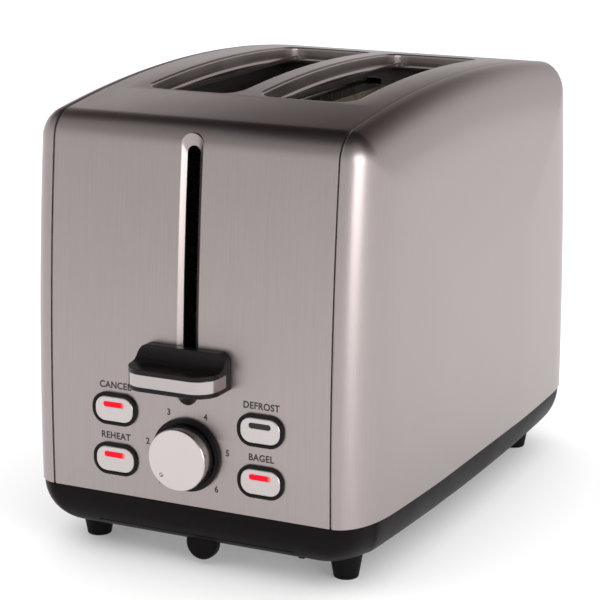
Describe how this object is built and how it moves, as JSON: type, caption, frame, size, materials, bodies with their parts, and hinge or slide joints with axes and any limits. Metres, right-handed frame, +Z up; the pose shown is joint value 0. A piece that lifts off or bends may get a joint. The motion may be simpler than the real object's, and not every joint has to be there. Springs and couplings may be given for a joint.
{
  "type": "pop-up toaster",
  "caption": "Pop-up toaster with a crowned brushed steel shell, long bread slots, front lever, browning knob and push buttons on a black base",
  "frame": {"origin": "on the ground, under the middle of the toaster with its lever", "axes": "+Z up, +Y from the front to the rear, +X to the right of someone facing the front"},
  "size_m": [0.1578, 0.258, 0.19],
  "materials": {
    "brushed_steel": "satin brushed, grain upright on the faces",
    "base_plastic": "semi-matte moulded",
    "foot_rubber": "matte",
    "screw_steel": "zinc plated",
    "chassis_steel": "aluminised sheet, satin",
    "mica": "pearly sheet",
    "heating_wire": "oxidised ribbon",
    "plated_wire": "bright plated",
    "coil_copper": "enamelled copper",
    "board_green": "solder mask",
    "component_black": "moulded",
    "lamp_clear": "clear epoxy",
    "trim_black": "semi-gloss",
    "lever_black": "satin",
    "silver_cap": "satin silver",
    "bright_trim": "polished",
    "lens_red": "lit lens",
    "lens_dark": "unlit lens",
    "tray_steel": "bare sheet"
  },
  "bodies": {
    "housing": {"base_screws": "screw_steel", "base_tray": "base_plastic", "button_bezel_bagel": "trim_black", "button_bezel_cancel": "trim_black", "button_bezel_defrost": "trim_black", "button_bezel_reheat": "trim_black", "button_switches": "component_black", "centre_band": "brushed_steel", "chassis_front": "chassis_steel", "chassis_rear": "chassis_steel", "control_board": "board_green", "cord_bush": "foot_rubber", "foot_front_left": "foot_rubber", "foot_front_right": "foot_rubber", "foot_rear_left": "foot_rubber", "foot_rear_right": "foot_rubber", "guide_rod": "plated_wire", "heater_card_centre": "mica", "heater_card_left": "mica", "heater_card_right": "mica", "heater_winding_centre": "heating_wire", "heater_winding_left": "heating_wire", "heater_winding_right": "heating_wire", "indicator_lamps": "lamp_clear", "knob_ring": "trim_black", "lift_spring": "plated_wire", "magnet_coil": "coil_copper", "magnet_core": "chassis_steel", "potentiometer": "component_black", "reflector_left": "chassis_steel", "reflector_right": "chassis_steel", "relay": "component_black", "side_panel_left": "brushed_steel", "side_panel_right": "brushed_steel", "slot_plate": "chassis_steel"},
    "carriage": {"lever_handle": "lever_black", "lever_trim": "bright_trim", "carriage_plate": "chassis_steel", "bread_rack_left": "plated_wire", "bread_rack_right": "plated_wire", "armature": "chassis_steel"},
    "browning_knob": {"knob": "silver_cap", "knob_shaft": "bright_trim"},
    "tray": {"crumb_tray": "tray_steel", "tray_grip": "base_plastic"},
    "cancel_button": {"button_cap_cancel": "silver_cap", "button_lens_cancel": "lens_red"},
    "defrost_button": {"button_cap_defrost": "silver_cap", "button_lens_defrost": "lens_dark"},
    "reheat_button": {"button_cap_reheat": "silver_cap", "button_lens_reheat": "lens_red"},
    "bagel_button": {"button_cap_bagel": "silver_cap", "button_lens_bagel": "lens_red"},
    "guard_left_outer": {"bread_guard_left_outer": "plated_wire"},
    "guard_left_inner": {"bread_guard_left_inner": "plated_wire"},
    "guard_right_inner": {"bread_guard_right_inner": "plated_wire"},
    "guard_right_outer": {"bread_guard_right_outer": "plated_wire"}
  },
  "joints": [
    {"name": "lever_slide", "type": "slide", "parent": "housing", "child": "carriage", "axis": [0, 0, 1], "range_m": [0, 0.075], "deforming": ["lift_spring"]},
    {"name": "browning_turn", "type": "hinge", "parent": "housing", "child": "browning_knob", "pos_m": [0, -0.111, 0.0505], "axis": [0, 1, 0], "range_deg": [0, 270]},
    {"name": "tray_slide", "type": "slide", "parent": "housing", "child": "tray", "axis": [0, -1, 0], "range_m": [0, 0.19]},
    {"name": "cancel_press", "type": "slide", "parent": "housing", "child": "cancel_button", "axis": [0, 1, 0], "range_m": [0, 0.0012], "stiffness_N_per_m": 400, "springref_m": -0.0005},
    {"name": "defrost_press", "type": "slide", "parent": "housing", "child": "defrost_button", "axis": [0, 1, 0], "range_m": [0, 0.0012], "stiffness_N_per_m": 400, "springref_m": -0.0005},
    {"name": "reheat_press", "type": "slide", "parent": "housing", "child": "reheat_button", "axis": [0, 1, 0], "range_m": [0, 0.0012], "stiffness_N_per_m": 400, "springref_m": -0.0005},
    {"name": "bagel_press", "type": "slide", "parent": "housing", "child": "bagel_button", "axis": [0, 1, 0], "range_m": [0, 0.0012], "stiffness_N_per_m": 400, "springref_m": -0.0005},
    {"name": "guard_left_outer_slide", "type": "slide", "parent": "housing", "child": "guard_left_outer", "axis": [-1, 0, 0], "range_m": [0, 0.006]},
    {"name": "guard_left_inner_slide", "type": "slide", "parent": "housing", "child": "guard_left_inner", "axis": [1, 0, 0], "range_m": [0, 0.006]},
    {"name": "guard_right_inner_slide", "type": "slide", "parent": "housing", "child": "guard_right_inner", "axis": [-1, 0, 0], "range_m": [0, 0.006]},
    {"name": "guard_right_outer_slide", "type": "slide", "parent": "housing", "child": "guard_right_outer", "axis": [1, 0, 0], "range_m": [0, 0.006]}
  ],
  "couplings": [
    {"joint": "guard_left_outer_slide", "follows": "lever_slide", "ratio": 0.079999},
    {"joint": "guard_left_inner_slide", "follows": "lever_slide", "ratio": 0.079999},
    {"joint": "guard_right_inner_slide", "follows": "lever_slide", "ratio": 0.079999},
    {"joint": "guard_right_outer_slide", "follows": "lever_slide", "ratio": 0.079999}
  ]
}
